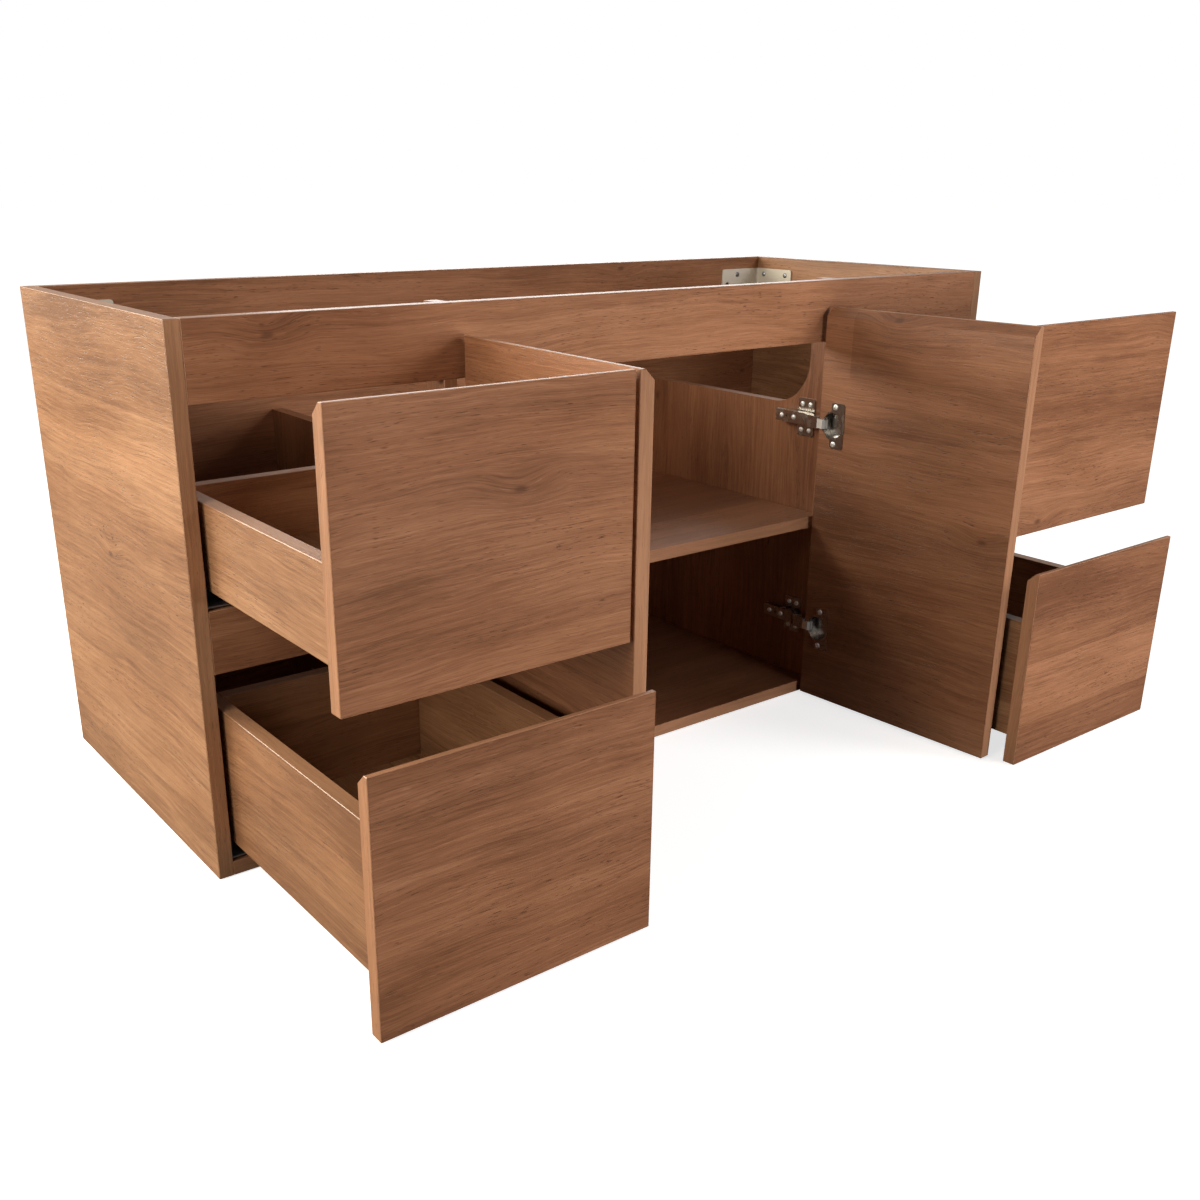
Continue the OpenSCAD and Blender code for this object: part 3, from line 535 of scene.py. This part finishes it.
# studio: pale floor, white room, warm soft lights from the left, plain ones from the front, and one
# behind that brightens the top edges
studio = {
    "floorColour": 0.8,
    "floorBounce": 0.12,
    "floorGlow": 0.72,
    "floorSize": 60.0,
    "floorGap": 0.001,
    "farFrom": 1.2,
    "farTo": 5.0,
    "farGlow": 1.05,
    "roomWhite": 1.0,
    "roomGloss": 0.4,
    "roomFill": 0.02,
}
lights = {
    "leftLight": {"place": (-3.0, -0.5, 0.85), "aim": (-0.5, -0.2, 0.3), "size": 1.6,
                  "power": 30.0, "gloss": True, "tint": (1.0, 0.94, 0.8)},
    "nearSideLight": {"place": (-1.5, -0.6, 0.98), "aim": (-0.6, -0.25, 0.4), "size": 0.8,
                      "power": 9.0, "gloss": True, "tint": (1.0, 0.94, 0.8)},
    "farSideLight": {"place": (-2.5, 0.9, 0.6), "aim": (-0.6, 0.0, 0.35), "size": 1.0,
                     "power": 22.0, "gloss": True, "tint": (1.0, 0.94, 0.8)},
    "highSideLight": {"place": (-1.6, 1.4, 1.3), "aim": (-0.6, 0.1, 0.45), "size": 1.3,
                      "power": 56.0, "gloss": True, "tint": (1.0, 0.94, 0.8)},
    "lowFrontLight": {"place": (0.3, -2.2, 0.35), "aim": (0.0, -0.4, 0.35), "size": 0.6,
                      "power": 20.0, "gloss": False, "tint": (1.0, 1.0, 1.0)},
    "highFrontLight": {"place": (1.6, -2.4, 1.3), "aim": (0.2, -0.4, 0.35), "size": 1.0,
                       "power": 25.0, "gloss": False, "tint": (1.0, 1.0, 1.0)},
    "rightFrontLight": {"place": (1.2, -1.7, 1.3), "aim": (0.45, -0.5, 0.45), "size": 0.5,
                        "power": 7.0, "gloss": False, "tint": (1.0, 1.0, 1.0)},
    "edgeLight": {"place": (2.2, 3.0, 1.7), "aim": (0.0, 0.0, 0.5), "size": 2.4,
                  "power": 46.0, "gloss": True, "tint": (1.0, 1.0, 1.0)},
}


def makeFloor():
    mesh = bpy.data.meshes.new("studioFloor")
    half = studio["floorSize"] / 2
    under = cadBox[0][2] - studio["floorGap"]
    corners = [(x * half, y * half, under) for x, y in ((-1, -1), (1, -1), (1, 1), (-1, 1))]
    mesh.from_pydata(corners, [], [(0, 1, 2, 3)])
    floor = bpy.data.objects.new("studioFloor", mesh)
    bpy.context.scene.collection.objects.link(floor)
    material, root, surface = newMaterial("palePaper")
    place = root.make("TexCoord", output=3)
    cloud = root.noise(place, scale=3.0, detail=3.0)
    seen = root.make("LightPath")
    shade = seen.mix(studio["floorBounce"], cloud * 0.03 + studio["floorColour"])
    far = place.make("VectorMath", {"operation": "LENGTH"}, {0: place}, output=1)
    glow = seen * far.smooth(studio["farFrom"], studio["farTo"], studio["floorGlow"], studio["farGlow"])
    root.plug(surface.inputs["Base Color"], root.vector(shade, shade, shade))
    surface.inputs["Emission Color"].default_value = (1, 1, 1, 1)
    root.plug(surface.inputs["Emission Strength"], glow)
    surface.inputs["Roughness"].default_value = 0.9
    surface.inputs["Specular IOR Level"].default_value = 0.1
    floor.data.materials.append(material)


def makeLight(name, look):
    lamp = bpy.data.lights.new(name, "AREA")
    lamp.shape = "SQUARE"
    lamp.size = look["size"]
    lamp.energy = look["power"]
    lamp.color = look["tint"]
    obj = bpy.data.objects.new(name, lamp)
    obj.location = look["place"]
    towards = Vector(look["aim"]) - Vector(look["place"])
    obj.rotation_euler = towards.to_track_quat("-Z", "Y").to_euler()
    obj.visible_glossy = look["gloss"]
    bpy.context.scene.collection.objects.link(obj)


def makeRoom():
    world = bpy.data.worlds.new("whiteRoom")
    world.use_nodes = True
    bpy.context.scene.world = world
    world.node_tree.nodes.clear()
    root = Wire(world.node_tree)
    shades = [root.make("Background", None, {"Color": (1, 1, 1, 1), "Strength": studio[part]})
              for part in ("roomFill", "roomWhite", "roomGloss")]
    fill, white, gloss = shades
    seen = root.make("LightPath", output="Is Camera Ray")
    mirrored = root.make("LightPath", output="Is Glossy Ray")
    unseen = root.make("MixShader", None, {0: mirrored, 1: fill, 2: gloss})
    both = root.make("MixShader", None, {0: seen, 1: unseen, 2: white})
    root.make("OutputWorld", None, {"Surface": both})


camera = {
    "place": (-1.0134, -1.3601, 0.6889),
    "turn": (69.744, -0.376, -37.58),
    "lens": 37.876,
    "shift": (0.0214, 0.0381),
    "sensor": 36.0,
}


def makeCamera():
    data = bpy.data.cameras.new("camera")
    data.sensor_width = camera["sensor"]
    data.lens = camera["lens"]
    data.shift_x, data.shift_y = camera["shift"]
    obj = bpy.data.objects.new("camera", data)
    obj.location = camera["place"]
    obj.rotation_euler = [math.radians(a) for a in camera["turn"]]
    bpy.context.scene.collection.objects.link(obj)
    bpy.context.scene.camera = obj


makeFloor()
makeRoom()
for name, look in lights.items():
    makeLight(name, look)
makeCamera()
bpy.context.scene.view_settings.view_transform = "Standard"
print("studio ready")
